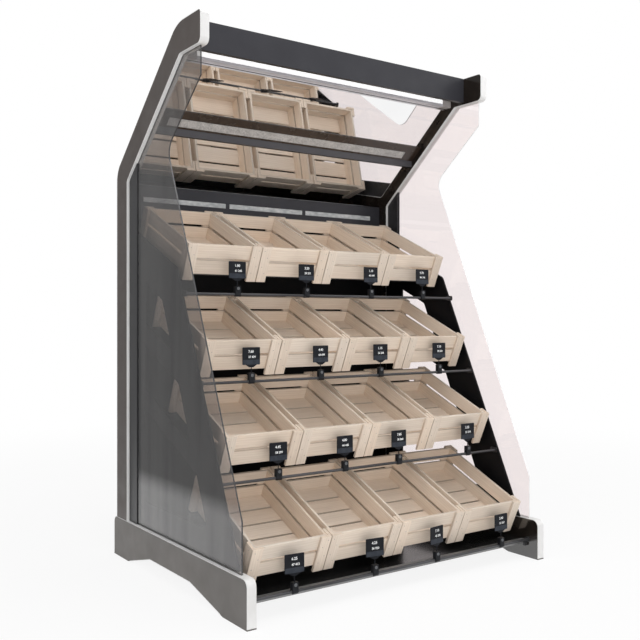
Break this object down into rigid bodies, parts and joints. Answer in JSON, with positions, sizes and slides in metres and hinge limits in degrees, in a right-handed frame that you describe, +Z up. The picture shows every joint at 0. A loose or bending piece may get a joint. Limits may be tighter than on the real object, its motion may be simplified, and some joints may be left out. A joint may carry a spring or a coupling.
{
  "type": "produce display rack",
  "caption": "Slanted shop rack: grey side frames with clear screens, tiers of slatted wooden crates, swivelling price tags, mirrored hood with lamps.",
  "frame": {"origin": "on the floor under the middle of the two feet", "axes": "+X across the rack to its right side as a shopper faces it, +Y from the front to the back, +Z up"},
  "size_m": [1.33, 1.04, 1.95],
  "materials": {
    "grey_board": "warm grey laminate, fine satin texture",
    "white_edging": "pale satin edge band",
    "black_board": "black laminate, low sheen",
    "slate_board": "slate grey laminate",
    "clear_sheet": "clear acrylic sheet, polished",
    "dark_steel": "dark grey powder coat",
    "black_steel": "black powder coat",
    "grey_steel": "grey powder coat",
    "black_gloss": "black high-gloss laminate",
    "crate_wood": "sawn pale softwood, unfinished",
    "mirror_glass": "silvered glass",
    "lamp_diffuser": "white translucent lamp diffuser",
    "lamp_strip": "pale textured lamp strip, unlit",
    "aluminium_profile": "anodised satin",
    "grey_plastic": "light grey moulding",
    "black_plastic": "black moulding",
    "tag_plastic": "slate black writing plate"
  },
  "bodies": {
    "rack": {"left_upright": "grey_board", "left_foot": "grey_board", "left_screen": "clear_sheet", "left_gable": "black_board", "right_upright": "grey_board", "right_foot": "grey_board", "right_screen": "clear_sheet", "right_gable": "black_board", "upright_edging": "white_edging", "foot_edging": "white_edging", "screen_posts": "dark_steel", "back_panel": "black_board", "lamp_panel": "slate_board", "back_lamps": "lamp_diffuser", "hood_panel": "black_board", "upper_mirror": "mirror_glass", "lower_mirror": "mirror_glass", "mirror_beam": "slate_board", "beam_lamp": "lamp_strip", "fascia": "slate_board", "lamp_profile": "aluminium_profile", "lamp_diffuser": "lamp_diffuser", "lamp_end_caps": "grey_plastic", "tag_rods": "dark_steel", "tag_clips": "black_plastic", "crate_rails": "black_steel", "base_deck": "black_gloss", "base_lip": "grey_steel"},
    "crate_1_1": {"crate_1_1": "crate_wood"},
    "crate_1_2": {"crate_1_2": "crate_wood"},
    "crate_1_3": {"crate_1_3": "crate_wood"},
    "crate_1_4": {"crate_1_4": "crate_wood"},
    "crate_2_1": {"crate_2_1": "crate_wood"},
    "crate_2_2": {"crate_2_2": "crate_wood"},
    "crate_2_3": {"crate_2_3": "crate_wood"},
    "crate_2_4": {"crate_2_4": "crate_wood"},
    "crate_3_1": {"crate_3_1": "crate_wood"},
    "crate_3_2": {"crate_3_2": "crate_wood"},
    "crate_3_3": {"crate_3_3": "crate_wood"},
    "crate_3_4": {"crate_3_4": "crate_wood"},
    "crate_4_1": {"crate_4_1": "crate_wood"},
    "crate_4_2": {"crate_4_2": "crate_wood"},
    "crate_4_3": {"crate_4_3": "crate_wood"},
    "crate_4_4": {"crate_4_4": "crate_wood"},
    "tag_1_1": {"tag_1_1": "tag_plastic"},
    "tag_1_2": {"tag_1_2": "tag_plastic"},
    "tag_1_3": {"tag_1_3": "tag_plastic"},
    "tag_1_4": {"tag_1_4": "tag_plastic"},
    "tag_2_1": {"tag_2_1": "tag_plastic"},
    "tag_2_2": {"tag_2_2": "tag_plastic"},
    "tag_2_3": {"tag_2_3": "tag_plastic"},
    "tag_2_4": {"tag_2_4": "tag_plastic"},
    "tag_3_1": {"tag_3_1": "tag_plastic"},
    "tag_3_2": {"tag_3_2": "tag_plastic"},
    "tag_3_3": {"tag_3_3": "tag_plastic"},
    "tag_3_4": {"tag_3_4": "tag_plastic"},
    "tag_4_1": {"tag_4_1": "tag_plastic"},
    "tag_4_2": {"tag_4_2": "tag_plastic"},
    "tag_4_3": {"tag_4_3": "tag_plastic"},
    "tag_4_4": {"tag_4_4": "tag_plastic"}
  },
  "joints": [
    {"name": "lift_1_1", "type": "slide", "parent": "rack", "child": "crate_1_1", "axis": [0, -0.4067, 0.9135], "range_m": [0, 0.2]},
    {"name": "lift_1_2", "type": "slide", "parent": "rack", "child": "crate_1_2", "axis": [0, -0.4067, 0.9135], "range_m": [0, 0.2]},
    {"name": "lift_1_3", "type": "slide", "parent": "rack", "child": "crate_1_3", "axis": [0, -0.4067, 0.9135], "range_m": [0, 0.2]},
    {"name": "lift_1_4", "type": "slide", "parent": "rack", "child": "crate_1_4", "axis": [0, -0.4067, 0.9135], "range_m": [0, 0.2]},
    {"name": "lift_2_1", "type": "slide", "parent": "rack", "child": "crate_2_1", "axis": [0, -0.4067, 0.9135], "range_m": [0, 0.07]},
    {"name": "lift_2_2", "type": "slide", "parent": "rack", "child": "crate_2_2", "axis": [0, -0.4067, 0.9135], "range_m": [0, 0.07]},
    {"name": "lift_2_3", "type": "slide", "parent": "rack", "child": "crate_2_3", "axis": [0, -0.4067, 0.9135], "range_m": [0, 0.07]},
    {"name": "lift_2_4", "type": "slide", "parent": "rack", "child": "crate_2_4", "axis": [0, -0.4067, 0.9135], "range_m": [0, 0.07]},
    {"name": "lift_3_1", "type": "slide", "parent": "rack", "child": "crate_3_1", "axis": [0, -0.4067, 0.9135], "range_m": [0, 0.07]},
    {"name": "lift_3_2", "type": "slide", "parent": "rack", "child": "crate_3_2", "axis": [0, -0.4067, 0.9135], "range_m": [0, 0.07]},
    {"name": "lift_3_3", "type": "slide", "parent": "rack", "child": "crate_3_3", "axis": [0, -0.4067, 0.9135], "range_m": [0, 0.07]},
    {"name": "lift_3_4", "type": "slide", "parent": "rack", "child": "crate_3_4", "axis": [0, -0.4067, 0.9135], "range_m": [0, 0.07]},
    {"name": "lift_4_1", "type": "slide", "parent": "rack", "child": "crate_4_1", "axis": [0, -0.4067, 0.9135], "range_m": [0, 0.07]},
    {"name": "lift_4_2", "type": "slide", "parent": "rack", "child": "crate_4_2", "axis": [0, -0.4067, 0.9135], "range_m": [0, 0.07]},
    {"name": "lift_4_3", "type": "slide", "parent": "rack", "child": "crate_4_3", "axis": [0, -0.4067, 0.9135], "range_m": [0, 0.07]},
    {"name": "lift_4_4", "type": "slide", "parent": "rack", "child": "crate_4_4", "axis": [0, -0.4067, 0.9135], "range_m": [0, 0.07]},
    {"name": "swivel_1_1", "type": "hinge", "parent": "rack", "child": "tag_1_1", "pos_m": [-0.4256, -0.04279, 1.01971], "axis": [0, 0, 1], "range_deg": [-90, 90]},
    {"name": "swivel_1_2", "type": "hinge", "parent": "rack", "child": "tag_1_2", "pos_m": [-0.12464, -0.04279, 1.01971], "axis": [0, 0, 1], "range_deg": [-90, 90]},
    {"name": "swivel_1_3", "type": "hinge", "parent": "rack", "child": "tag_1_3", "pos_m": [0.18848, -0.04279, 1.01971], "axis": [0, 0, 1], "range_deg": [-90, 90]},
    {"name": "swivel_1_4", "type": "hinge", "parent": "rack", "child": "tag_1_4", "pos_m": [0.46512, -0.04279, 1.01971], "axis": [0, 0, 1], "range_deg": [-90, 90]},
    {"name": "swivel_2_1", "type": "hinge", "parent": "rack", "child": "tag_2_1", "pos_m": [-0.43928, -0.16383, 0.71451], "axis": [0, 0, 1], "range_deg": [-25, 25]},
    {"name": "swivel_2_2", "type": "hinge", "parent": "rack", "child": "tag_2_2", "pos_m": [-0.14379, -0.16383, 0.71451], "axis": [0, 0, 1], "range_deg": [-28, 22]},
    {"name": "swivel_2_3", "type": "hinge", "parent": "rack", "child": "tag_2_3", "pos_m": [0.13984, -0.16383, 0.71451], "axis": [0, 0, 1], "range_deg": [-25, 25]},
    {"name": "swivel_2_4", "type": "hinge", "parent": "rack", "child": "tag_2_4", "pos_m": [0.44688, -0.16383, 0.71451], "axis": [0, 0, 1], "range_deg": [-25, 25]},
    {"name": "swivel_3_1", "type": "hinge", "parent": "rack", "child": "tag_3_1", "pos_m": [-0.41496, -0.30089, 0.39821], "axis": [0, 0, 1], "range_deg": [-30, 30]},
    {"name": "swivel_3_2", "type": "hinge", "parent": "rack", "child": "tag_3_2", "pos_m": [-0.13528, -0.30089, 0.39821], "axis": [0, 0, 1], "range_deg": [-30, 30]},
    {"name": "swivel_3_3", "type": "hinge", "parent": "rack", "child": "tag_3_3", "pos_m": [0.11552, -0.30089, 0.39821], "axis": [0, 0, 1], "range_deg": [-30, 30]},
    {"name": "swivel_3_4", "type": "hinge", "parent": "rack", "child": "tag_3_4", "pos_m": [0.47272, -0.30089, 0.39821], "axis": [0, 0, 1], "range_deg": [-30, 30]},
    {"name": "swivel_4_1", "type": "hinge", "parent": "rack", "child": "tag_4_1", "pos_m": [-0.46208, -0.46973, 0.06996], "axis": [0, 0, 1], "range_deg": [-30, 42]},
    {"name": "swivel_4_2", "type": "hinge", "parent": "rack", "child": "tag_4_2", "pos_m": [-0.13528, -0.46973, 0.06996], "axis": [0, 0, 1], "range_deg": [-28, 44]},
    {"name": "swivel_4_3", "type": "hinge", "parent": "rack", "child": "tag_4_3", "pos_m": [0.14896, -0.46973, 0.06996], "axis": [0, 0, 1], "range_deg": [-44, 28]},
    {"name": "swivel_4_4", "type": "hinge", "parent": "rack", "child": "tag_4_4", "pos_m": [0.48032, -0.46973, 0.06996], "axis": [0, 0, 1], "range_deg": [-38, 34]}
  ]
}
